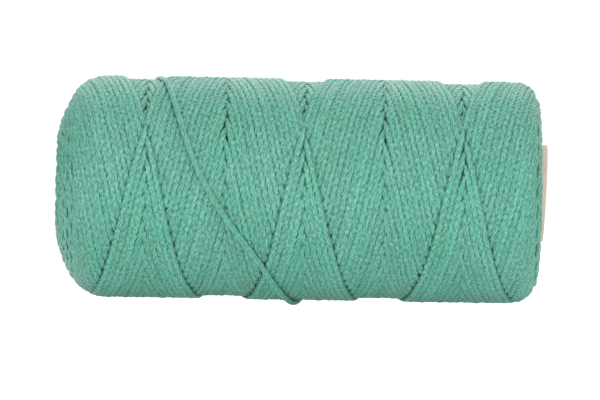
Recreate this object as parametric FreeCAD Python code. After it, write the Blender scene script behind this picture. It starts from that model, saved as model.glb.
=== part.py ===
import FreeCAD, Part

# A tube of twisted fishing line: one long nylon line, cross-wound on a spiral paper tube.
# It lies on its side. Millimetres throughout.
#
# Frame: the origin is on the bore's axis at the middle of the paper tube. +X runs along the bore,
# towards the end where the tube stands out of the line. +Z is up.
#
# The paper tube is built from its glued strips of paper, from the bore outwards. The line is one
# length, so it is divided as it comes off the tube: the last wrap, which lies loose on top, then the
# covers, each a complete crossed pair of layers, and the starting tail that the first cover traps.

import math
import os

from FreeCAD import Vector

# Driving dimensions: the paper tube
BORE_RADIUS = 12.7  # a one-inch bore
TUBE_LENGTH = 152.4  # six inches
END_CUT_SKEW = 2.0  # degrees, by which the right end is cut off square, with its top the longest
PLY_THICKNESS = 0.5
PLY_NAMES = (
    "core_inner_liner",
    "core_body_ply_1",
    "core_body_ply_2",
    "core_body_ply_3",
    "core_outer_ply",
)
SEAM_LEAD = 52.0  # how far a strip of paper advances in one turn
SEAM_GAP = 0.4  # between one turn's edge and the next
SEAM_STAGGER = 0.37  # of a turn, from one ply's seam to the next, so that no two line up

# Driving dimensions: the wound line
LINE_DIAMETER = 1.65
PACKAGE_RADIUS = 34.7
COVER_COUNT = 8
COVER_NAME = "line_cover_{}"

# The ends of the wound line, as (x, radius). Each is two arcs: a slightly domed face and a shoulder.
# The left end has slumped further than the right. A face starts at the tube, so it has one radius less.
LEFT_FACE_FOOT_X = -78.4
LEFT_FACE = ((-76.6, 22.5), (-72.8, 29.8))
LEFT_SHOULDER = ((-69.2, 33.0), (-61.5, PACKAGE_RADIUS))
RIGHT_SHOULDER = ((62.0, PACKAGE_RADIUS), (70.6, 33.2), (73.9, 27.6))
RIGHT_FACE = ((74.45, 21.0),)
RIGHT_FACE_FOOT_X = 74.6

# The last wrap: a steady lead along the tube, with one stretch where it has slipped along.
# Places round the package are in turns from the top, towards -Y.
WRAP_NAME = "line_last_wrap"
WRAP_START_TURN = -0.28
WRAP_END_TURN = 0.93
WRAP_LEAD = 39.4
SLIP_MIDDLE_X = -21.8
SLIP_MIDDLE_TURN = 0.31
SLIP_HALF_LENGTH = 12.2
SLIP_TURNS = 0.105
WRAP_CLEARANCE = 0.05  # off the cover beneath

# The starting tail lies along the tube, in a groove in the first cover.
TAIL_NAME = "line_start_tail"
TAIL_START_X = -74.0
TAIL_END_X = -22.0
TAIL_TURNS = 0.4  # round the tube, over its whole length
TAIL_CLEARANCE = 0.05  # off the tube
GROOVE_CLEARANCE = 0.25  # off the cover, so the groove is open towards the tube

# Worked-out dimensions
TUBE_RADIUS = BORE_RADIUS + PLY_THICKNESS * len(PLY_NAMES)
COVER_THICKNESS = (PACKAGE_RADIUS - TUBE_RADIUS) / COVER_COUNT
LINE_RADIUS = 0.5 * LINE_DIAMETER
PATH_POINTS_PER_TURN = 36

ORIGIN = Vector(0, 0, 0)
X_AXIS = Vector(1, 0, 0)
Y_AXIS = Vector(0, 1, 0)
Z_AXIS = Vector(0, 0, 1)


def make_ply(inner_radius, seam_turn):
    """One strip of paper, wound edge to edge: a thin tube with a helical butt seam."""
    outer_radius = inner_radius + PLY_THICKNESS
    tube = Part.makeCylinder(outer_radius, TUBE_LENGTH)
    tube = tube.cut(Part.makeCylinder(inner_radius, TUBE_LENGTH))

    # The seam's cutter runs past both ends and both walls of the ply.
    overrun = PLY_THICKNESS * 0.5
    low = inner_radius - overrun
    high = outer_radius + overrun
    half = SEAM_GAP * 0.5
    corners = [
        Vector(low, 0, -half),
        Vector(high, 0, -half),
        Vector(high, 0, half),
        Vector(low, 0, half),
    ]
    profile = Part.makePolygon(corners + corners[:1])
    helix = Part.makeHelix(SEAM_LEAD, TUBE_LENGTH + SEAM_LEAD, low)
    cutter = Part.Wire(helix.Edges).makePipeShell([profile], True, True)
    cutter.translate(Z_AXIS * (-SEAM_LEAD * 0.5))
    cutter.rotate(ORIGIN, Z_AXIS, 360.0 * seam_turn)

    ply = tube.cut(cutter)
    ply.translate(Z_AXIS * (-TUBE_LENGTH * 0.5))
    ply.rotate(ORIGIN, Y_AXIS, 90)
    return ply.cut(end_trim())


def end_trim():
    """What the saw takes off the right end of the tube."""
    top_corner = Vector(TUBE_LENGTH * 0.5, 0, TUBE_RADIUS)
    width = 4.0 * TUBE_RADIUS
    trim = Part.makeBox(TUBE_RADIUS, width, width, top_corner - Vector(0, 0.5, 0.5) * width)
    trim.rotate(top_corner, Y_AXIS, END_CUT_SKEW)
    return trim


def section_point(x, radius):
    """A point of a flat section that is then turned about the X axis."""
    return Vector(x, 0, radius)


def package_section():
    """Half of the wound line, cut along its axis, as one flat face."""
    left_foot = section_point(LEFT_FACE_FOOT_X, TUBE_RADIUS)
    face_middle, shoulder_start = [section_point(x, r) for x, r in LEFT_FACE]
    shoulder_middle, shoulder_end = [section_point(x, r) for x, r in LEFT_SHOULDER]
    edges = [
        Part.Arc(left_foot, face_middle, shoulder_start).toShape(),
        Part.Arc(shoulder_start, shoulder_middle, shoulder_end).toShape(),
    ]

    right_start, right_middle, right_end = [section_point(x, r) for x, r in RIGHT_SHOULDER]
    right_foot = section_point(RIGHT_FACE_FOOT_X, TUBE_RADIUS)
    edges += [
        Part.LineSegment(shoulder_end, right_start).toShape(),
        Part.Arc(right_start, right_middle, right_end).toShape(),
        Part.Arc(right_end, section_point(*RIGHT_FACE[0]), right_foot).toShape(),
        Part.LineSegment(right_foot, left_foot).toShape(),
    ]
    return Part.Face(Part.Wire(edges))


def make_cover(section, number):
    """One cover of crossed line, as a shell of the package. Number 1 lies on the tube."""
    inner_radius = TUBE_RADIUS + COVER_THICKNESS * (number - 1)
    outer_radius = inner_radius + COVER_THICKNESS
    corners = [
        section_point(-TUBE_LENGTH, inner_radius),
        section_point(TUBE_LENGTH, inner_radius),
        section_point(TUBE_LENGTH, outer_radius),
        section_point(-TUBE_LENGTH, outer_radius),
    ]
    band = Part.Face(Part.makePolygon(corners + corners[:1]))
    cover_section = section.common(band).Faces[0]
    return cover_section.revolve(ORIGIN, X_AXIS, 360)


def round_point(x, turn, radius):
    """A point on a cylinder about the X axis, by its place round it in turns from the top."""
    angle = 2.0 * math.pi * turn
    return Vector(x, -radius * math.sin(angle), radius * math.cos(angle))


def strand(points, radius):
    """A round strand along a smooth path through these points."""
    path = Part.BSplineCurve()
    path.interpolate(points)
    start_direction = path.tangent(path.FirstParameter)[0]
    profile = Part.Circle(points[0], start_direction, radius)
    return Part.Wire(path.toShape()).makePipeShell([Part.Wire(profile.toShape())], True, False)


def path_turns(start, end):
    """Evenly spaced places from one turn to another."""
    count = math.ceil(abs(end - start) * PATH_POINTS_PER_TURN)
    return [start + (end - start) * i / count for i in range(count + 1)]


def make_last_wrap():
    """The loose wrap over the covers."""
    radius = PACKAGE_RADIUS + WRAP_CLEARANCE + LINE_RADIUS
    points = []
    for turn in path_turns(WRAP_START_TURN, WRAP_END_TURN):
        past_middle = turn - SLIP_MIDDLE_TURN
        slip = SLIP_HALF_LENGTH * math.tanh(past_middle / SLIP_TURNS)
        points.append(round_point(SLIP_MIDDLE_X + WRAP_LEAD * past_middle + slip, turn, radius))
    return strand(points, LINE_RADIUS)


def make_start_tail(radius):
    """The line's first end, along the tube. A larger radius gives the groove that it lies in."""
    points = []
    for turn in path_turns(0.0, TAIL_TURNS):
        x = TAIL_START_X + (TAIL_END_X - TAIL_START_X) * turn / TAIL_TURNS
        points.append(round_point(x, turn, TUBE_RADIUS + TAIL_CLEARANCE + LINE_RADIUS))
    return strand(points, radius)


def save(shape, name):
    """Writes one solid to its own file, after checking it."""
    solid = shape.Solids[0]
    if len(shape.Solids) != 1 or not solid.isValid() or solid.Volume <= 0:
        raise ValueError(name + " is not one sound solid")
    solid.exportStep(os.path.join("parts", name + ".step"))


def main():
    os.makedirs("parts", exist_ok=True)

    for i, name in enumerate(PLY_NAMES):
        save(make_ply(BORE_RADIUS + PLY_THICKNESS * i, SEAM_STAGGER * i), name)

    section = package_section()
    groove = make_start_tail(LINE_RADIUS + GROOVE_CLEARANCE)
    for number in range(1, COVER_COUNT + 1):
        cover = make_cover(section, number)
        if number == 1:
            cover = cover.cut(groove)
        save(cover, COVER_NAME.format(number))

    save(make_start_tail(LINE_RADIUS), TAIL_NAME)
    save(make_last_wrap(), WRAP_NAME)


main()
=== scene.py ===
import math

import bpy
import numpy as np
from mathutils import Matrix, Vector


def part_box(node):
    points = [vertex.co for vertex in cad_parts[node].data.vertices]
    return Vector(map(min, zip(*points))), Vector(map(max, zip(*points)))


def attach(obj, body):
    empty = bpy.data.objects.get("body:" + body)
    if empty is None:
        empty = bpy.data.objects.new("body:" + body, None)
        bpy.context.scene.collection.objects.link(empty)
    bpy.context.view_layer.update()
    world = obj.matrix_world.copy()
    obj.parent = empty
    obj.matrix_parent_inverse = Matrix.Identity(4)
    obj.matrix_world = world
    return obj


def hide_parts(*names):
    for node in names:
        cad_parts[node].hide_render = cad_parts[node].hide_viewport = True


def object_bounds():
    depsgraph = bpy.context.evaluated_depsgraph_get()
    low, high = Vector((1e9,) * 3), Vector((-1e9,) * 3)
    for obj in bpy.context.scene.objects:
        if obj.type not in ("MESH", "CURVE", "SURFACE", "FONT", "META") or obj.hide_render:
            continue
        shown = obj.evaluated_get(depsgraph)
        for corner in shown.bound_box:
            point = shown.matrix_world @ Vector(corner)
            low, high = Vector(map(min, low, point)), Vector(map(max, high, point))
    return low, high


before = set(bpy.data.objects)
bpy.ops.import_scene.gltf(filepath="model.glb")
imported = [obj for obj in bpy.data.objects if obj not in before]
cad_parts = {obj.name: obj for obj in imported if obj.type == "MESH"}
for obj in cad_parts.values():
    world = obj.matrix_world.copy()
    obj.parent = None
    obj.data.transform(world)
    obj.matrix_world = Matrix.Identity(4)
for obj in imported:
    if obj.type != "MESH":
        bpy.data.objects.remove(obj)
cad_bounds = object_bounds()

# The looks of a tube of twisted fishing line. Every visible stretch of line is a real strand of twisted
# yarns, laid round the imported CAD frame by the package's winding law. Lengths are in metres. Places round
# the package are in turns from the top towards -Y, the side that faces the camera. Places along the package
# are measured over its outline, from the middle.

MM = 0.001
SEED = 18
COVER_COUNT = 8

# The line
STRAND_RADIUS = 0.90 * MM
STRAND_WIDENING = 1.30  # packed strands are pressed wider than they are high
STRAND_LAY = 13.4 * MM  # the yarns go once round the strand in this length
LAY_SPREAD = 0.04  # the lay's variation between runs, as a share
SECTION_STEP = 0.55 * MM
LEAST_SECTIONS = 6
YARNS = 6
YARN_CORNERS = 4  # corners of the strand's outline across one yarn
CREVICE_FILL = 0.74  # the least radius, as a share, down in the crevice between two yarns
TWIST_UNEVENNESS = 0.05  # in turns
TWIST_WAVE = 3.3 * MM
TWIST_WAVE_SHIFT = 40.0  # makes each strand's unevenness its own

# Painted shade on a strand. A start is the sine of the angle from the strand's top.
CREVICE_SHADE_START = 0.35  # crevices are dark only beside the next strand
SIDE_SHADE_START = 0.84  # a strand is dark all along where it touches the next
SIDE_SHADE_WIDTH = 0.12
SIDE_SHADE = 0.95
EDGE_DIVE_SHADE = 0.50  # how dark a dive at the newest strands' edge is beside one at a crossing
# The deep colour is the colour of the painted shade.
GROOVE_DARKNESS = 0.75  # the most of the deep colour that a groove takes
DIVE_DARKNESS = 0.85

# The winding law. A right run moves towards +X as it goes round, and a left run towards -X. A run's age is
# its place in the cover, from 0 for the newest to 1 for the oldest.
LEAD = 48.9 * MM  # along the package in one turn
STROKE_TURNS = 3.0  # turns from one end to the other
STROKES = 28  # runs each way in one complete cover
STROKE_GROUPS = 4  # pieces that one direction's runs are divided into
RIGHT_START = 0.160  # where the newest right run crosses the middle, in turns
LEFT_START = 0.135
END_ROUNDING = 0.018  # in turns, at each turnaround

# Heights in the outermost cover
STEP_HEIGHT = 0.95 * MM  # from the newest strand down to the oldest beside it
SHOULDER_START = 60.0 * MM  # from the middle of the package, where its steps begin to even out
SHOULDER_LENGTH = 8.0 * MM
SHOULDER_EVENNESS = 0.75  # 1 would be no step
CROSSING_DEPTH = 1.60 * MM  # from a strand to the one it crosses over
WEAVE_LENGTH = 3.6 * MM  # in which a strand dives under its neighbours
EDGE_DEPTH = 0.75 * MM  # how much further it dives at the edge of the newest strands
EDGE_LENGTH = 2.6 * MM
EDGE_LEAD_IN = 0.62  # how early that dive starts, as a share of its length
HIDDEN_LENGTH = 6.5 * MM  # how far a strand's run goes on under the others
SHALLOW_TURNS = 0.045  # crossings this near a turnaround are shallow, in turns
TURNAROUND_DEPTH = 0.2  # as a share of the crossing's depth
RUN_RISE_SPREAD = 0.05 * MM
RUN_SHIFT_SPREAD = 0.07 * MM

# Crossings of runs of one age open into gaps near the top, where the strands are pinched.
PINCHED_WIDENING = 0.45
PINCH_REACH = 0.7  # as a share of the weave
GAP_LOWEST = -0.35  # the cosine of the angle from the top at which the gaps begin
GAP_BLEND = 0.8  # how much further up, in the same measure, they are whole

# Sideways drift: (share, waves round the package, waves along it in radians per metre, phase)
WANDER = 0.16 * MM
WANDER_WAVES = ((1.0, 3, 55.0, 0.6), (0.6, 5, -130.0, 2.1))
OWN_WAVER = 0.045 * MM
OWN_WAVES = (4.3, 9.7, 17.9)  # per turn

# The turnarounds of the covers beneath, at the package's ends
TURNAROUND_REACH = 0.062  # turns on each side of a turnaround
TURNAROUND_RISE = 0.05  # turns in which it climbs from one layer to the next
TURNAROUND_SECTION_STEP = 1.15 * SECTION_STEP
TURNAROUND_LAYERS = (0.25, 0.75)  # heights of the two layers, as shares of the cover's thickness
TOP_COVER_TUCK = 0.35 * MM  # how much deeper the highest of these covers sits, under the outermost
SINK_SPREAD = 0.16 * MM  # the spreads are small random differences between turnarounds
LAYER_SPREAD = 0.05 * MM
PLACE_SPREAD = 0.08  # as a share of the distance between turnarounds

# The layers beneath the outermost cover
LAYERS_STEP = 1.0 * MM
LAYERS_COLUMNS = 240
LAYERS_MARGIN = 0.3 * MM  # from the outline's ends
LAYERS_DEPTH = 1.3 * MM  # below the middles of the strands over it
LAYERS_END_FADE = 3.0 * MM  # in which they sink, towards each end
LAYERS_REACH = 2  # each point is as low as the lowest within this many steps of it
TUBE_CLEARANCE = 0.05 * MM

# The last wrap: a steady lead, with one stretch where it has slipped along
WRAP_START_TURN = -0.28
WRAP_END_TURN = 0.93
WRAP_LEAD = 39.4 * MM
SLIP_MIDDLE = -21.8 * MM
SLIP_MIDDLE_TURN = 0.31
SLIP_HALF_LENGTH = 12.2 * MM
SLIP_TURNS = 0.105
WRAP_LAY = 15.0 * MM
WRAP_SECTION_STEP = 0.4 * MM
WRAP_LIFT = 1.0  # in strand radii, behind the top, where it is bedded between strands
WRAP_EXTRA_LIFT = 0.85  # in strand radii, in front, where it lies loose over them
WRAP_LIFT_TURNS = 0.10  # in which it rises, past the top
WRAP_SMOOTHING = 15  # sections on each side over which its height is evened
WRAP_TUCK_LENGTH = 9.0 * MM  # in which each end goes under the cover
WRAP_TUCK_DEPTH = 3.2  # in strand radii
WRAP_YARN_CORNERS = 10
WRAP_YARN_SWELLING = 1.05  # pressed together, the yarns fill the gaps between them
WRAP_YARN_LAYS = -3.0  # a yarn's own twist, in lays of the wrap and the other way round
WRAP_YARN_PHASE = 0.37
WRAP_YARN_TONES = (0.8, 1.4)  # in turn

# The starting tail, against the tube
TAIL_START_X = -74.0 * MM
TAIL_END_X = -22.0 * MM
TAIL_TURNS = 0.4
TAIL_TONE = 0.5

# The package's outline
RING_DIGITS = 5  # decimals of a metre by which rings are told apart
RING_GAP = 0.4 * MM  # the least distance between two rings of the CAD outline
OUTLINE_STEP = 0.25 * MM
OUTLINE_SMOOTHING = 3.0 * MM

# The camera and the floor
CAMERA_LENS = 400.0
CAMERA_SENSOR = 36.0
CAMERA_CLIP_START = 0.01
FRAME_FILL = 0.8172  # the part's length, as a share of the picture's width
CAMERA_ROLL = 0.97  # degrees
AIM_X = -1.4 * MM
AIM_Z = -3.4 * MM
FLOOR_HALF_SIZE = 3.0
FLOOR_CLEARANCE = 0.05 * MM

# Light. A lamp is (name, place, size, power, colour, whether it makes mirror highlights).
LAMPS = (
    ("key", (0.20, -0.60, 0.75), 0.60, 4.9, (1.0, 1.0, 1.0), True),
    ("fill", (-0.40, -0.90, 0.10), 0.50, 3.3, (1.0, 1.0, 1.0), True),
    ("back", (0.10, 0.60, 0.75), 1.00, 5.6, (1.0, 1.0, 1.0), True),
    ("under", (0.25, -0.65, -0.60), 0.15, 2.2, (1.0, 0.90, 0.95), False),
)
SURROUNDINGS_LIGHT = 0.62
SEEN_WHITE = 1.3  # how bright the surroundings and the far floor look to the camera
WHITE = (1.0, 1.0, 1.0, 1.0)
FLOOR_WHITE = (0.80, 0.80, 0.80, 1.0)
FLOOR_GLOW = 0.22
GLANCING = (0.80, 0.93)  # the range of Facing over which the floor turns to its own even white

# Colours, as everyday 0 to 255 values
FIBRE_DARK = (66, 145, 129)
FIBRE_LIGHT = (102, 179, 162)
PATCH_COLOUR = (76, 161, 138)
YELLOWED_COLOUR = (128, 172, 118)
# painted highlight: the pale colour that the tufts' tips are mixed towards
PAINTED_HIGHLIGHT_COLOUR = (190, 226, 214)
# painted shade: the deep colour of the crevices, the strands' sides and their dives
PAINTED_SHADE_COLOUR = (14, 76, 60)
SHEEN_COLOUR = (236, 246, 242)
KRAFT_LIGHT = (216, 198, 184)
KRAFT_DARK = (203, 184, 170)
BOARD_LIGHT = (205, 188, 170)
BOARD_DARK = (170, 150, 132)
SPECK_COLOUR = (120, 92, 70)

# How the line's looks vary. A pair is the range of a pattern or of painted shade that is stretched from none
# to full.
FIBRE_GRAIN = (0.35, 26.0, 1.0)  # per millimetre along a strand, and per turn round it
TUFT_GRAIN = (0.8, 13.0, 1.0)
PATCH_SCALE = 55.0  # per metre
YELLOWED_SCALE = 90.0
FIBRE_RANGE = (0.32, 0.68)
TUFT_RANGE = (0.38, 0.62)
PATCH_RANGE = (0.35, 0.65)
YELLOWED_RANGE = (0.60, 0.80)
# the ranges of the painted shade in the grooves and at the dives
CREVICE_RANGE = (0.3, 1.0)
DIVE_RANGE = (0.15, 0.55)
YELLOWED_SHARE = 0.15
# how much of the painted highlight the tufts' tips take
PAINTED_HIGHLIGHT_SHARE = 0.11
LINE_BRIGHTNESS = 0.837
# the layers beneath are a darker copy of the line: painted shade, as they show only down in the gaps
LAYERS_SHADED_BRIGHTNESS = 0.3255
TONE_SPREAD = 0.14  # in brightness, from strand to strand
TUFT_SPREAD = 0.50  # in brightness, from between the tufts to their tips
TUFT_LEAST = 0.69
ROUGHNESS_LEAST = 0.31
ROUGHNESS_SPREAD = 0.20
FIBRE_RELIEF = 0.35  # as a share of the tufts' relief
LINE_BUMP_DEPTH = 0.12 * MM

# How the paper's looks vary
PAPER_GRAIN = (0.35, 1.0, 1.0)
KRAFT_FIBRE_SCALE = 1400.0  # per metre
BOARD_FIBRE_SCALE = 1100.0
BLOTCH_SCALE = 160.0
SPECK_SCALE = 0.6  # as a share of the fibres' own
PAPER_FIBRE_RANGE = (0.35, 0.65)
BLOTCH_RANGE = (0.45, 0.75)
SPECK_RANGE = (0.70, 0.78)
BLOTCH_SHARE = 0.35
SPECK_SHARE = 0.4
PAPER_BUMP_DEPTH = 0.05 * MM

rng = np.random.default_rng(SEED)

cover_boxes = [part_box(f"line_cover_{number}") for number in range(1, COVER_COUNT + 1)]
tube_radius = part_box("core_outer_ply")[1].y
cover_radii = [tube_radius] + [high.z for low, high in cover_boxes]
package_radius = cover_radii[-1]
package_turn_length = 2 * math.pi * package_radius


# ---------------------------------------------------------------- small helpers


def smoothstep(t):
    t = np.clip(t, 0.0, 1.0)
    return t * t * (3.0 - 2.0 * t)


def smoothing_window(count):
    window = np.hanning(count)
    return window / window.sum()


def unit(vectors):
    return vectors / np.linalg.norm(vectors, axis=1)[:, None]


def length_along(points):
    """The distance run from the first point to each."""
    steps = np.linalg.norm(np.diff(points, axis=0), axis=1)
    return np.concatenate([[0], np.cumsum(steps)])


def axes_along(centres, outward):
    """The sideways and upward directions at each point of a path."""
    along = unit(np.gradient(centres, axis=0))
    across = unit(np.cross(along, outward))
    return across, np.cross(across, along)


def ring_quads(rows, columns, closed_rows):
    """The corners of the quads over a grid that closes round its columns, and maybe its rows."""
    last_row = rows if closed_rows else rows - 1
    row, column = np.meshgrid(np.arange(last_row), np.arange(columns), indexing="ij")
    next_row = (row + 1) % rows
    next_column = (column + 1) % columns
    return np.stack([
        row * columns + column,
        row * columns + next_column,
        next_row * columns + next_column,
        next_row * columns + column,
    ], axis=-1).reshape(-1, 4)


# ---------------------------------------------------------------- the package's outline


def outline_rings():
    """The wound line's outline in the CAD frame, from the left foot to the right, as (x, radius)."""
    rings = {(cover_boxes[0][0].x, tube_radius), (cover_boxes[0][1].x, tube_radius)}
    for number in range(2, COVER_COUNT + 1):
        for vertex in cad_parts[f"line_cover_{number}"].data.vertices:
            x, y, z = vertex.co
            rings.add((round(x, RING_DIGITS), round(math.hypot(y, z), RING_DIGITS)))

    def sweep_angle(ring):
        return math.atan2(ring[1] - tube_radius, -ring[0])

    ordered = sorted(rings, key=sweep_angle)
    kept = [ordered[0]]
    for ring in ordered[1:]:
        if math.dist(ring, kept[-1]) > RING_GAP:
            kept.append(ring)
    return np.array(kept)


class Outline:
    """The outline as a smooth curve by its own length, which is 0 at the middle of the package."""

    def __init__(self, rings):
        lengths = length_along(rings)
        along = np.arange(0, lengths[-1], OUTLINE_STEP)
        curve = np.stack([np.interp(along, lengths, rings[:, i]) for i in range(2)], axis=1)
        window = smoothing_window(int(OUTLINE_SMOOTHING / OUTLINE_STEP))
        reach = len(window) // 2
        padded = np.concatenate([
            2 * curve[0] - curve[reach:0:-1],
            curve,
            2 * curve[-1] - curve[-2:-reach - 2:-1],
        ])
        smooth = [np.convolve(padded[:, i], window, mode="same")[reach:reach + len(curve)] for i in range(2)]
        self.x, self.radius = smooth
        self.along = along - np.interp(0.0, self.x, along)
        slope_x = np.gradient(self.x, self.along)
        slope_r = np.gradient(self.radius, self.along)
        size = np.hypot(slope_x, slope_r)
        self.normal_x, self.normal_r = -slope_r / size, slope_x / size

    def place(self, along, turns, lift):
        """Points over the outline, and the surface's outward directions there."""
        x, radius, normal_x, normal_r = (
            np.interp(along, self.along, values)
            for values in (self.x, self.radius, self.normal_x, self.normal_r)
        )
        angle = 2 * np.pi * turns
        radial = radius + lift * normal_r
        points = np.stack([x + lift * normal_x, -radial * np.sin(angle), radial * np.cos(angle)], axis=-1)
        outward = np.stack([normal_x, -normal_r * np.sin(angle), normal_r * np.cos(angle)], axis=-1)
        return points, outward

    def at_radius(self, radius, side):
        """The place on the left (side -1) or right (side 1) end where the outline has this radius."""
        mask = self.along * side > 0
        order = np.argsort(self.radius[mask])
        return np.interp(radius, self.radius[mask][order], self.along[mask][order])


outline = Outline(outline_rings())


# ---------------------------------------------------------------- strands as meshes


def yarn_radius_in(strand_radius):
    """The radius of round yarns that just touch one another inside a strand."""
    half_angle = math.pi / YARNS
    return strand_radius * math.sin(half_angle) / (1.0 + math.sin(half_angle))


def lobed_profile():
    """The outline across a strand of round yarns, as shares of its radius, from a crevice on."""
    yarn = yarn_radius_in(1.0)
    orbit = 1.0 - yarn
    angle = math.pi / YARNS * (2.0 * np.arange(YARN_CORNERS) / YARN_CORNERS - 1.0)
    inside = np.maximum(yarn ** 2 - (orbit * np.sin(angle)) ** 2, 0.0)
    radius = orbit * np.cos(angle) + np.sqrt(inside)
    return np.tile(np.maximum(radius, CREVICE_FILL), YARNS)


STRAND_PROFILE = lobed_profile()


def painted_groove_shade(profile, angle):
    """Painted shade at each point of a strand for its place: in the crevices, and down the sides."""
    relief = profile.max() - profile.min()
    depth = (profile.max() - profile) / max(relief, 1e-6)  # a round profile has no relief
    sideways = np.abs(np.sin(angle))
    beside = smoothstep((sideways - CREVICE_SHADE_START) / (1.0 - CREVICE_SHADE_START))
    side_shade = SIDE_SHADE * smoothstep((sideways - SIDE_SHADE_START) / SIDE_SHADE_WIDTH)
    return np.maximum(depth[None, :] * beside, side_shade)


class StrandMesh:
    """Collects twisted strands, then makes one object of them."""

    def __init__(self):
        self.points = []
        self.tones = []
        self.grooves = []
        self.dives = []
        self.loops = []
        self.loop_counts = []
        self.uvs = []
        self.count = 0

    def add(
        self, centres, outward, phase, tone, lay=STRAND_LAY, widening=STRAND_WIDENING, dive=0.0,
        profile=STRAND_PROFILE, radius=STRAND_RADIUS,
    ):
        """One strand with a right-hand twist, and a cap at each end."""
        across, up = axes_along(centres, outward)
        run = length_along(centres)
        rings = len(centres)
        sides = len(profile)
        turns = np.arange(sides) / sides
        uneven = TWIST_UNEVENNESS * np.sin(run / TWIST_WAVE + TWIST_WAVE_SHIFT * phase)
        twist = (run / lay + uneven)[:, None] + turns[None, :] + phase
        angle = 2 * np.pi * twist
        reach = (radius * profile)[None, :, None]
        widening = np.reshape(widening, (-1, 1))
        offset = (
            np.cos(angle)[..., None] * up[:, None, :]
            + (widening * np.sin(angle))[..., None] * across[:, None, :]
        )
        self.points.append((centres[:, None, :] + reach * offset).reshape(-1, 3))
        self.tones.append(np.full(rings * sides, tone))
        self.grooves.append(painted_groove_shade(profile, angle).ravel())
        self.dives.append(np.repeat(np.broadcast_to(dive, rings), sides))
        self.add_faces(rings, sides)
        self.add_map(run, sides, lay, radius)
        self.count += rings * sides

    def add_faces(self, rings, sides):
        quads = ring_quads(rings, sides, closed_rows=False)
        first_cap = np.arange(sides)[::-1]
        last_cap = (rings - 1) * sides + np.arange(sides)
        caps = np.stack([first_cap, last_cap])
        self.loops += [quads.ravel() + self.count, caps.ravel() + self.count]
        self.loop_counts += [np.full(len(quads), 4), np.full(2, sides)]

    def add_map(self, run, sides, lay, radius):
        """The map that the fibres follow, in millimetres along the strand.

        Across, it is the place round the strand without its twist, in turns, so that fibres run straight
        along the strand. A thin yarn takes a smaller share of a turn.
        """
        share = radius / STRAND_RADIUS
        across = run[:, None] / lay + share * np.arange(sides + 1)[None, :] / sides
        along = np.broadcast_to((run / MM)[:, None], across.shape)
        corner = np.stack([along, across], axis=-1)
        quad_uvs = np.stack([
            corner[:-1, :-1], corner[:-1, 1:], corner[1:, 1:], corner[1:, :-1],
        ], axis=2).reshape(-1, 2)
        cap_uvs = np.concatenate([corner[0, :sides][::-1], corner[-1, :sides]])
        self.uvs += [quad_uvs, cap_uvs]

    def finish(self, name, material):
        piece = make_object(
            name,
            np.concatenate(self.points),
            np.concatenate(self.loops),
            np.concatenate(self.loop_counts),
            material,
        )
        mesh = piece.data
        add_point_values(mesh, "tone", np.concatenate(self.tones))
        # the groove and dive values are amounts of painted shade
        add_point_values(mesh, "groove", np.concatenate(self.grooves))
        add_point_values(mesh, "dive", np.concatenate(self.dives))
        layer = mesh.uv_layers.new(name="strand")
        layer.data.foreach_set("uv", np.concatenate(self.uvs).astype(np.float32).ravel())
        return piece


def make_object(name, points, loops, loop_counts, material):
    """A smooth-shaded mesh object from arrays, riding on the part's one body."""
    mesh = bpy.data.meshes.new(name)
    mesh.vertices.add(len(points))
    mesh.vertices.foreach_set("co", points.astype(np.float32).ravel())
    mesh.loops.add(len(loops))
    mesh.loops.foreach_set("vertex_index", loops.astype(np.int32))
    starts = np.concatenate([[0], np.cumsum(loop_counts)[:-1]])
    mesh.polygons.add(len(loop_counts))
    mesh.polygons.foreach_set("loop_start", starts.astype(np.int32))
    mesh.update(calc_edges=True)
    mesh.shade_smooth()
    mesh.materials.append(material)
    piece = bpy.data.objects.new(name, mesh)
    bpy.context.scene.collection.objects.link(piece)
    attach(piece, "root")
    return piece


def add_point_values(mesh, name, values):
    attribute = mesh.attributes.new(name, "FLOAT", "POINT")
    attribute.data.foreach_set("value", values.astype(np.float32))


# ---------------------------------------------------------------- materials


class Nodes:
    """A short way to build the node tree of a material or a world."""

    def __init__(self, owner):
        owner.use_nodes = True
        self.tree = owner.node_tree
        self.tree.nodes.clear()

    def add(self, kind, settings=None, **inputs):
        """A node. Each input is named as its socket is, or as i and the socket's number."""
        node = self.tree.nodes.new(kind)
        for key, value in (settings or {}).items():
            setattr(node, key, value)
        for key, value in inputs.items():
            self.put(node, key.replace("_", " "), value)
        return node

    def put(self, node, key, value):
        numbered = key[0] == "i" and key[1:].isdigit()
        socket = node.inputs[int(key[1:])] if numbered else node.inputs[key]
        if isinstance(value, bpy.types.NodeSocket):
            self.tree.links.new(value, socket)
        else:
            socket.default_value = value

    def maths(self, operation, first, second=0.0, third=0.0):
        node = self.add("ShaderNodeMath", {"operation": operation}, i0=first, i1=second, i2=third)
        return node.outputs[0]

    def mix(self, share, first, second, blend="MIX"):
        settings = {"data_type": "RGBA", "blend_type": blend}
        return self.add("ShaderNodeMix", settings, i0=share, i6=first, i7=second).outputs[2]

    def noise(self, vector, scale, detail, roughness):
        node = self.add("ShaderNodeTexNoise", Vector=vector, Scale=scale, Detail=detail, Roughness=roughness)
        return node.outputs["Fac"]

    def scaled(self, vector, scale):
        return self.add("ShaderNodeMapping", Vector=vector, Scale=scale).outputs["Vector"]

    def attribute(self, name):
        return self.add("ShaderNodeAttribute", {"attribute_name": name}).outputs["Fac"]

    def ramp(self, value, low, high):
        """Stretches the part of value between low and high to 0 to 1."""
        node = self.add("ShaderNodeMapRange", {"clamp": True}, Value=value, From_Min=low, From_Max=high)
        return node.outputs[0]

    def bump(self, height, strength, depth):
        node = self.add("ShaderNodeBump", Strength=strength, Distance=depth, Height=height)
        return node.outputs["Normal"]

    def finish(self, surface, output="ShaderNodeOutputMaterial"):
        self.add(output, Surface=surface)


def srgb(red, green, blue):
    """A colour from its everyday 0 to 255 values."""
    def linear(value):
        value /= 255.0
        return value / 12.92 if value <= 0.04045 else ((value + 0.055) / 1.055) ** 2.4
    return (linear(red), linear(green), linear(blue), 1.0)


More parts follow.
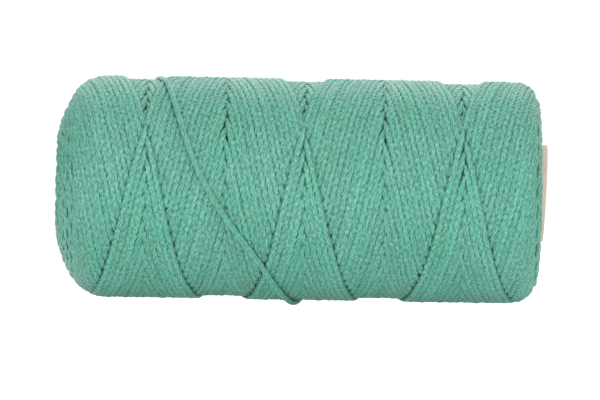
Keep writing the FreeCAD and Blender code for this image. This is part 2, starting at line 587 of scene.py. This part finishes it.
def line_colour(n, fibres, tufts, full_brightness):
    """Mottled green fibres with painted highlights on the tufts' tips, and painted shade in the crevices,
    down the sides and where a strand dives.
    """
    place = n.add("ShaderNodeTexCoord").outputs["Object"]
    patches = n.noise(place, PATCH_SCALE, detail=2.0, roughness=0.5)
    yellowed = n.noise(place, YELLOWED_SCALE, detail=1.0, roughness=0.4)
    colour = n.mix(n.ramp(fibres, *FIBRE_RANGE), srgb(*FIBRE_DARK), srgb(*FIBRE_LIGHT))
    colour = n.mix(n.ramp(patches, *PATCH_RANGE), colour, srgb(*PATCH_COLOUR))
    yellowed_share = n.maths("MULTIPLY", n.ramp(yellowed, *YELLOWED_RANGE), YELLOWED_SHARE)
    colour = n.mix(yellowed_share, colour, srgb(*YELLOWED_COLOUR))

    brightness = n.maths("MULTIPLY_ADD", n.attribute("tone"), TONE_SPREAD, full_brightness)
    tuft_light = n.maths("MULTIPLY_ADD", tufts, TUFT_SPREAD, TUFT_LEAST)
    brightness = n.maths("MULTIPLY", brightness, tuft_light)
    grey = n.add("ShaderNodeCombineColor", Red=brightness, Green=brightness, Blue=brightness).outputs[0]
    colour = n.mix(1.0, colour, grey, "MULTIPLY")
    # painted highlight: the tufts' tips are paled towards white
    colour = n.mix(n.maths("MULTIPLY", tufts, PAINTED_HIGHLIGHT_SHARE), colour, srgb(*PAINTED_HIGHLIGHT_COLOUR))

    # painted shade from the groove and dive values, mixed towards the deep colour
    crevices = n.maths("MULTIPLY", n.ramp(n.attribute("groove"), *CREVICE_RANGE), GROOVE_DARKNESS)
    dives = n.maths("MULTIPLY", n.ramp(n.attribute("dive"), *DIVE_RANGE), DIVE_DARKNESS)
    return n.mix(n.maths("MAXIMUM", crevices, dives), colour, srgb(*PAINTED_SHADE_COLOUR))


def line_material(name, full_brightness):
    """Twisted nylon: fine fibres along the strand, in short tufts, with a soft sheen."""
    material = bpy.data.materials.new(name)
    n = Nodes(material)
    strand_map = n.add("ShaderNodeUVMap", {"uv_map": "strand"}).outputs["UV"]
    fibres = n.noise(n.scaled(strand_map, FIBRE_GRAIN), scale=1.0, detail=3.0, roughness=0.65)
    tuft_noise = n.noise(n.scaled(strand_map, TUFT_GRAIN), scale=1.0, detail=1.0, roughness=0.5)
    tufts = n.ramp(tuft_noise, *TUFT_RANGE)
    relief = n.maths("MULTIPLY_ADD", fibres, FIBRE_RELIEF, tufts)
    shader = n.add(
        "ShaderNodeBsdfPrincipled",
        Base_Color=line_colour(n, fibres, tufts, full_brightness),
        Roughness=n.maths("MULTIPLY_ADD", fibres, ROUGHNESS_SPREAD, ROUGHNESS_LEAST),
        IOR=1.5,
        Subsurface_Weight=0.6,
        Subsurface_Radius=(0.4, 1.0, 0.8),
        Subsurface_Scale=0.7 * MM,
        Sheen_Weight=0.25,
        Sheen_Roughness=0.4,
        Sheen_Tint=srgb(*SHEEN_COLOUR),
        Normal=n.bump(relief, strength=0.5, depth=LINE_BUMP_DEPTH),
    )
    n.finish(shader.outputs[0])
    return material


def paper_material(name, light, dark, fibre_scale):
    """Matte paper: short fibres, faint blotches and specks, and a soft bump."""
    material = bpy.data.materials.new(name)
    n = Nodes(material)
    place = n.add("ShaderNodeTexCoord").outputs["Object"]
    blotches = n.noise(place, BLOTCH_SCALE, detail=3.0, roughness=0.6)
    fibres = n.noise(n.scaled(place, PAPER_GRAIN), fibre_scale, detail=4.0, roughness=0.7)
    specks = n.noise(place, fibre_scale * SPECK_SCALE, detail=1.0, roughness=0.5)
    colour = n.mix(n.ramp(fibres, *PAPER_FIBRE_RANGE), srgb(*dark), srgb(*light))
    blotch_share = n.maths("MULTIPLY", n.ramp(blotches, *BLOTCH_RANGE), BLOTCH_SHARE)
    colour = n.mix(blotch_share, colour, srgb(*dark))
    speck_share = n.maths("MULTIPLY", n.ramp(specks, *SPECK_RANGE), SPECK_SHARE)
    colour = n.mix(speck_share, colour, srgb(*SPECK_COLOUR))
    shader = n.add(
        "ShaderNodeBsdfPrincipled",
        Base_Color=colour,
        Roughness=0.82,
        Specular_IOR_Level=0.25,
        Normal=n.bump(fibres, strength=0.4, depth=PAPER_BUMP_DEPTH),
    )
    n.finish(shader.outputs[0])
    return material


line_finish = line_material("twisted_nylon", LINE_BRIGHTNESS)
# a darker copy of the nylon, painted shade for the layers seen through the gaps
shadowed_finish = line_material("nylon_beneath_shaded", LAYERS_SHADED_BRIGHTNESS)


# ---------------------------------------------------------------- the outermost cover


def step_height(along):
    """The step from newest to oldest, which is pressed nearly flat over the package's shoulders."""
    share = smoothstep((np.abs(along) - SHOULDER_START) / SHOULDER_LENGTH)
    return STEP_HEIGHT * (1.0 - SHOULDER_EVENNESS * share)


def surface_lift(along, turns):
    """How far the middle of the top strand is from the outline: high where the line is newest."""
    right_age = (turns - along / LEAD - RIGHT_START) % 1.0
    left_age = (turns + along / LEAD - LEFT_START) % 1.0
    return step_height(along) * (1.0 - right_age - left_age) - STRAND_RADIUS


def wander(along, turns):
    """A slow sideways drift that neighbouring strands share."""
    angle = 2 * np.pi * turns
    waves = sum(
        share * np.sin(rate * angle + along * pace + phase)
        for share, rate, pace, phase in WANDER_WAVES
    )
    return WANDER * waves


def own_waver(turns, seeds):
    """A strand's own small sideways waver."""
    waves = sum(np.sin(2 * np.pi * (turns * rate + seed)) for rate, seed in zip(OWN_WAVES, seeds))
    return OWN_WAVER * waves


def rounded(turns):
    """The distance from a turnaround, with a round corner there in place of a sharp one."""
    return np.sqrt(turns ** 2 + END_ROUNDING ** 2) - END_ROUNDING


def stroke_path(direction, age, start, end):
    """The middle of one run from start to end, both in turns from the run's turnaround."""
    count = max(int((end - start) * package_turn_length / SECTION_STEP), LEAST_SECTIONS)
    run = np.linspace(start, end, count)
    near = rounded(run)
    far = STROKE_TURNS - rounded(STROKE_TURNS - run)
    share = np.clip(run / STROKE_TURNS, 0.0, 1.0)
    progress = near * (1.0 - share) + far * share
    along = direction * LEAD * (progress - 0.5 * STROKE_TURNS)
    newest = RIGHT_START if direction > 0 else LEFT_START
    turns = newest + age + run - 0.5 * STROKE_TURNS
    return run, along, turns


def add_visible_runs(strands, direction, age):
    """All the stretches of one run in which it lies on top, each with its ends tucked under."""
    seeds = rng.random(3)
    phase = rng.random()
    lay = STRAND_LAY * rng.uniform(1.0 - LAY_SPREAD, 1.0 + LAY_SPREAD)
    tone = rng.random()
    rise = rng.normal(0.0, RUN_RISE_SPREAD)
    shift = rng.normal(0.0, RUN_SHIFT_SPREAD)
    offset = direction * (RIGHT_START - LEFT_START)
    half_crossing = 0.5 * direction / STROKES  # a left run lies over the right run of its own age
    hidden = HIDDEN_LENGTH / package_turn_length
    weave = 2 * WEAVE_LENGTH / package_turn_length
    edge_weave = 2 * EDGE_LENGTH / package_turn_length
    for cycle in range(int(2 * STROKE_TURNS)):
        start = 0.5 * (cycle - offset) - hidden
        end = 0.5 * (cycle + 1 - age - offset) + hidden
        end = min(end, STROKE_TURNS + hidden)
        run, along, turns = stroke_path(direction, age, start, end)
        other_age = 2 * run + age + offset - cycle
        past_crossing = other_age - age - half_crossing
        from_end = np.abs(np.minimum(run, STROKE_TURNS - run))
        settled = smoothstep(from_end / SHALLOW_TURNS)
        near_top = smoothstep((np.cos(2 * np.pi * turns) - GAP_LOWEST) / GAP_BLEND)

        lift = step_height(along) * (1.0 - age - other_age) - STRAND_RADIUS + rise
        crossing_dive = 1.0 - smoothstep(past_crossing / weave + 0.5)
        edge_dive = smoothstep((other_age - 1.0) / edge_weave + EDGE_LEAD_IN)
        depth = CROSSING_DEPTH * (TURNAROUND_DEPTH + (1.0 - TURNAROUND_DEPTH) * settled)
        lift -= depth * crossing_dive + EDGE_DEPTH * edge_dive
        along = along + wander(along, turns) + own_waver(turns, seeds) + shift
        centres, outward = outline.place(along, turns, lift)

        pinch = np.exp(-(past_crossing / (weave * PINCH_REACH)) ** 2)
        width = STRAND_WIDENING - (STRAND_WIDENING - PINCHED_WIDENING) * pinch * near_top * settled
        # painted shade for the gaps at crossings near the top, and fainter along the newest strands' edge
        dive = np.maximum(crossing_dive * near_top * settled, EDGE_DIVE_SHADE * edge_dive)
        strands.add(centres, outward, phase, tone, lay=lay, widening=width, dive=dive)


def build_outer_cover():
    """The outermost cover, in groups of runs."""
    per_group = STROKES // STROKE_GROUPS
    for direction, side_name in ((1, "right"), (-1, "left")):
        for group in range(STROKE_GROUPS):
            strands = StrandMesh()
            for index in range(group * per_group, (group + 1) * per_group):
                add_visible_runs(strands, direction, (index + 0.5) / STROKES)
            piece = strands.finish(f"outer_cover_{side_name}_runs_{group + 1}", line_finish)
            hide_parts(f"line_cover_{COVER_COUNT}")


# ---------------------------------------------------------------- the turnarounds of the covers beneath


def add_turnarounds(strands, inner, thickness, tuck, side):
    """One cover's turnarounds at one end, each climbing from one layer of the cover to the next."""
    middle = inner + 0.5 * thickness
    low_layer, high_layer = TURNAROUND_LAYERS
    first = rng.random()
    count = int(2 * TURNAROUND_REACH * 2 * math.pi * middle / TURNAROUND_SECTION_STEP)
    run = np.linspace(-TURNAROUND_REACH, TURNAROUND_REACH, count)
    depth = LEAD * rounded(run)
    rise = smoothstep(run / TURNAROUND_RISE + 0.5)
    for index in range(STROKES):
        sunk = depth + tuck + abs(rng.normal(0.0, SINK_SPREAD))
        radius = inner + low_layer * thickness + (high_layer - low_layer) * thickness * rise
        radius = radius + rng.normal(0.0, LAYER_SPREAD)
        turns = first + (index + rng.normal(0.0, PLACE_SPREAD)) / STROKES + run
        along = outline.at_radius(radius, side)
        centres, outward = outline.place(along, turns, -STRAND_RADIUS)
        centres[:, 0] -= side * sunk
        strands.add(centres, outward, phase=rng.random(), tone=rng.random())


def build_inner_turns():
    """Each inner cover's turnarounds, which are all that shows of it, at both ends."""
    for number in range(1, COVER_COUNT):
        strands = StrandMesh()
        inner = cover_radii[number - 1]
        thickness = cover_radii[number] - inner
        tuck = TOP_COVER_TUCK if number == COVER_COUNT - 1 else 0.0
        for side in (-1, 1):
            add_turnarounds(strands, inner, thickness, tuck, side)
        piece = strands.finish(f"cover_{number}_turnarounds", line_finish)
        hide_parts(f"line_cover_{number}")


# ---------------------------------------------------------------- what shows between the strands


def layers_lift(grid_along, grid_turns):
    """The height of the layers beneath: under every strand near each point, and lower at the ends."""
    lift = surface_lift(grid_along, grid_turns)
    half_traverse = 0.5 * STROKE_TURNS * LEAD
    past_fade = np.abs(grid_along) - half_traverse + LAYERS_END_FADE
    end_share = smoothstep(past_fade / LAYERS_END_FADE)
    end_lift = -STRAND_RADIUS - LAYERS_DEPTH
    lift = lift * (1.0 - end_share) + end_lift * end_share
    lowest = lift.copy()
    steps = range(-LAYERS_REACH, LAYERS_REACH + 1)
    for row_shift in steps:
        moved = np.roll(lift, row_shift, axis=0)
        for column_shift in steps:
            lowest = np.minimum(lowest, np.roll(moved, column_shift, axis=1))
    return lowest - LAYERS_DEPTH


def build_under_layers():
    """The layers beneath, as one closed body that follows the surface under the visible strands."""
    first = outline.along[0] + LAYERS_MARGIN
    last = outline.along[-1] - LAYERS_MARGIN
    along = np.arange(first, last, LAYERS_STEP)
    turns = np.arange(LAYERS_COLUMNS) / LAYERS_COLUMNS
    grid_along, grid_turns = np.meshgrid(along, turns, indexing="ij")
    points, outward = outline.place(grid_along, grid_turns, layers_lift(grid_along, grid_turns))

    # The wall against the tube closes the body.
    angle = 2 * np.pi * turns
    wall_radius = tube_radius + TUBE_CLEARANCE
    wall = []
    for end in (points[-1, :, 0].mean(), points[0, :, 0].mean()):
        wall.append(np.stack([
            np.full(LAYERS_COLUMNS, end), -wall_radius * np.sin(angle), wall_radius * np.cos(angle),
        ], axis=-1))
    rings = np.concatenate([points, np.array(wall)])
    quads = ring_quads(len(rings), LAYERS_COLUMNS, closed_rows=True)
    piece = make_object(
        "line_under_layers", rings.reshape(-1, 3), quads.ravel(), np.full(len(quads), 4), shadowed_finish
    )
    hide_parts(*(f"line_cover_{number}" for number in range(1, COVER_COUNT)))


def build_start_tail():
    """The line's first end, along the tube inside the first cover."""
    tube_turn_length = 2 * math.pi * tube_radius
    length = math.hypot(TAIL_END_X - TAIL_START_X, TAIL_TURNS * tube_turn_length)
    share = np.linspace(0.0, 1.0, int(length / SECTION_STEP))
    angle = 2 * np.pi * TAIL_TURNS * share
    outward = np.stack([np.zeros_like(share), -np.sin(angle), np.cos(angle)], axis=-1)
    centres = (tube_radius + STRAND_RADIUS) * outward
    centres[:, 0] = TAIL_START_X + (TAIL_END_X - TAIL_START_X) * share
    strands = StrandMesh()
    strands.add(centres, outward, phase=0.0, tone=TAIL_TONE, widening=1.0)
    piece = strands.finish("start_tail", line_finish)
    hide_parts("line_start_tail")


# ---------------------------------------------------------------- the last wrap


def wrap_path():
    """The middle of the last wrap, which rests on the strands beneath and tucks both its ends in."""
    wrap_turns = WRAP_END_TURN - WRAP_START_TURN
    count = int(wrap_turns * package_turn_length / WRAP_SECTION_STEP)
    turns = np.linspace(WRAP_START_TURN, WRAP_END_TURN, count)
    past_middle = turns - SLIP_MIDDLE_TURN
    slip = SLIP_HALF_LENGTH * np.tanh(past_middle / SLIP_TURNS)
    along = SLIP_MIDDLE + WRAP_LEAD * past_middle + slip
    resting = WRAP_LIFT + WRAP_EXTRA_LIFT * smoothstep(turns / WRAP_LIFT_TURNS)
    lift = surface_lift(along, turns) + STRAND_RADIUS * resting
    padded = np.pad(lift, WRAP_SMOOTHING, mode="edge")
    lift = np.convolve(padded, smoothing_window(2 * WRAP_SMOOTHING + 1), mode="valid")
    tuck = WRAP_TUCK_LENGTH / package_turn_length
    free_share = smoothstep((turns - WRAP_START_TURN) / tuck) * smoothstep((WRAP_END_TURN - turns) / tuck)
    lift -= WRAP_TUCK_DEPTH * STRAND_RADIUS * (1.0 - free_share)
    return outline.place(along, turns, lift)


def build_last_wrap():
    """The loose wrap, as separate yarns that are twisted together."""
    centres, outward = wrap_path()
    across, up = axes_along(centres, outward)
    run = length_along(centres)
    yarn_radius = yarn_radius_in(STRAND_RADIUS)
    orbit = STRAND_RADIUS - yarn_radius
    round_profile = np.ones(WRAP_YARN_CORNERS)
    for yarn in range(YARNS):
        angle = 2 * np.pi * (run / WRAP_LAY + yarn / YARNS)
        place = centres + orbit * (np.cos(angle)[:, None] * up + np.sin(angle)[:, None] * across)
        strands = StrandMesh()
        strands.add(
            place,
            outward,
            phase=WRAP_YARN_PHASE * yarn,
            tone=WRAP_YARN_TONES[yarn % 2],
            lay=WRAP_YARN_LAYS * WRAP_LAY,
            widening=1.0,
            profile=round_profile,
            radius=WRAP_YARN_SWELLING * yarn_radius,
        )
        strands.finish(f"last_wrap_yarn_{yarn + 1}", line_finish)
    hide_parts("line_last_wrap")


# ---------------------------------------------------------------- the paper tube


def finish_tube():
    """Paper for the CAD plies, which keep their own shapes."""
    kraft = paper_material("kraft_paper", KRAFT_LIGHT, KRAFT_DARK, KRAFT_FIBRE_SCALE)
    board = paper_material("core_board", BOARD_LIGHT, BOARD_DARK, BOARD_FIBRE_SCALE)
    finishes = {
        "core_inner_liner": kraft,
        "core_body_ply_1": board,
        "core_body_ply_2": board,
        "core_body_ply_3": board,
        "core_outer_ply": kraft,
    }
    for name, material in finishes.items():
        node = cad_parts[name]
        node.data.materials.clear()
        node.data.materials.append(material)


# ---------------------------------------------------------------- floor, light and camera


def floor_material():
    """Matte white. At a glancing angle the camera sees only an even white of its own."""
    material = bpy.data.materials.new("floor_white")
    n = Nodes(material)
    facing = n.add("ShaderNodeLayerWeight", Blend=0.5).outputs["Facing"]
    camera_ray = n.add("ShaderNodeLightPath").outputs["Is Camera Ray"]
    glancing = n.maths("MULTIPLY", n.ramp(facing, *GLANCING), camera_ray)
    matte = n.add("ShaderNodeBsdfDiffuse", Color=FLOOR_WHITE).outputs[0]
    table_glow = n.add("ShaderNodeEmission", Color=WHITE, Strength=FLOOR_GLOW).outputs[0]
    table = n.add("ShaderNodeAddShader", i0=matte, i1=table_glow).outputs[0]
    even_white = n.add("ShaderNodeEmission", Color=WHITE, Strength=SEEN_WHITE).outputs[0]
    n.finish(n.add("ShaderNodeMixShader", i0=glancing, i1=table, i2=even_white).outputs[0])
    return material


def build_floor(height):
    """A plain white floor."""
    corners = ((-1, -1), (1, -1), (1, 1), (-1, 1))
    points = [(x * FLOOR_HALF_SIZE, y * FLOOR_HALF_SIZE, height) for x, y in corners]
    mesh = bpy.data.meshes.new("floor")
    mesh.from_pydata(points, [], [(0, 1, 2, 3)])
    mesh.materials.append(floor_material())
    floor = bpy.data.objects.new("floor", mesh)
    bpy.context.scene.collection.objects.link(floor)
    floor.visible_shadow = False  # the table lets the light beneath it through


def build_surroundings():
    """White all round, which looks brighter to the camera than it lights the part."""
    world = bpy.data.worlds.new("studio")
    n = Nodes(world)
    camera_ray = n.add("ShaderNodeLightPath").outputs["Is Camera Ray"]
    light = n.add("ShaderNodeBackground", Strength=SURROUNDINGS_LIGHT).outputs[0]
    seen = n.add("ShaderNodeBackground", Strength=SEEN_WHITE).outputs[0]
    surface = n.add("ShaderNodeMixShader", i0=camera_ray, i1=light, i2=seen).outputs[0]
    n.finish(surface, "ShaderNodeOutputWorld")
    bpy.context.scene.world = world


def build_lamps():
    """Soft square lamps, all of which face the origin."""
    for name, place, size, power, colour, makes_highlights in LAMPS:
        data = bpy.data.lights.new(name, "AREA")
        data.size = size
        data.energy = power
        data.color = colour
        lamp = bpy.data.objects.new(name, data)
        lamp.location = place
        lamp.rotation_euler = (-Vector(place)).to_track_quat("-Z", "Y").to_euler()
        lamp.visible_glossy = makes_highlights
        bpy.context.scene.collection.objects.link(lamp)


def build_camera():
    """A long lens in front of the part, tilted a little to one side."""
    low, high = cad_bounds
    width = (high[0] - low[0]) / FRAME_FILL
    distance = width * CAMERA_LENS / CAMERA_SENSOR
    data = bpy.data.cameras.new("camera")
    data.lens = CAMERA_LENS
    data.sensor_width = CAMERA_SENSOR
    data.clip_start = CAMERA_CLIP_START
    camera = bpy.data.objects.new("camera", data)
    camera.location = (AIM_X, -distance, AIM_Z)
    camera.rotation_euler = (math.radians(90), math.radians(-CAMERA_ROLL), 0)
    bpy.context.scene.collection.objects.link(camera)
    bpy.context.scene.camera = camera


build_outer_cover()
build_inner_turns()
build_under_layers()
build_start_tail()
build_last_wrap()
finish_tube()
lowest_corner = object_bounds()[0]
build_floor(lowest_corner[2] - FLOOR_CLEARANCE)
build_surroundings()
build_lamps()
build_camera()
bpy.context.scene.view_settings.view_transform = "Standard"
